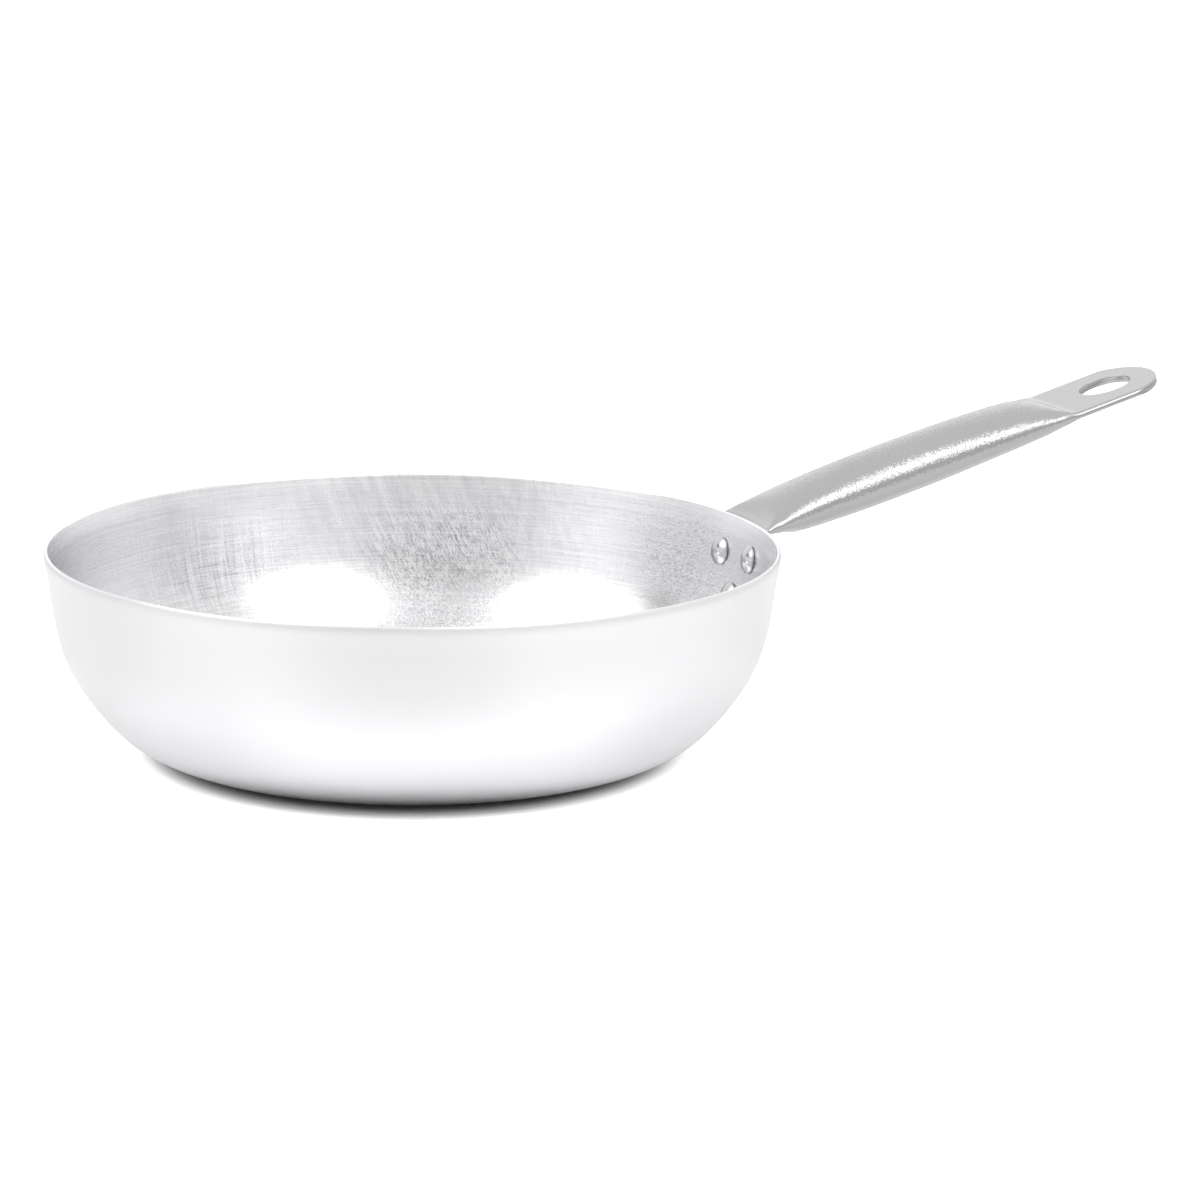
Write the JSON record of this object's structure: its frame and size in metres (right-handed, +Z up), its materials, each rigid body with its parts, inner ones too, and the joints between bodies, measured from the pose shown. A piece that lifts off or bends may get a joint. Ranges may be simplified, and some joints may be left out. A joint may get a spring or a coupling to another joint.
{
  "type": "deep frying pan",
  "caption": "Deep round frying pan with a curved wall and flat base, and a hollow flattened-tube handle riveted to the wall, with a hanging hole in its flat end",
  "frame": {"origin": "middle of the flat underside of the base, on the surface the pan stands on", "axes": "+Z up out of the bowl, +X from the bowl's axis out along the handle, +Y to the left when looking along the handle away from the bowl; the pan is symmetric about the XZ plane, apart from 1.6 mm between the heights of the two upper rivets"},
  "size_m": [0.4611, 0.28, 0.1268],
  "materials": {
    "bowl_aluminium": "satin outside, brushed in circles inside",
    "handle_steel": "fine bead-blasted satin",
    "rivet_aluminium": "polished"
  },
  "bodies": {
    "root": {"pan_body": "bowl_aluminium", "handle": "handle_steel", "rivet_upper_left": "rivet_aluminium", "rivet_upper_right": "rivet_aluminium", "rivet_lower": "rivet_aluminium"}
  },
  "joints": []
}
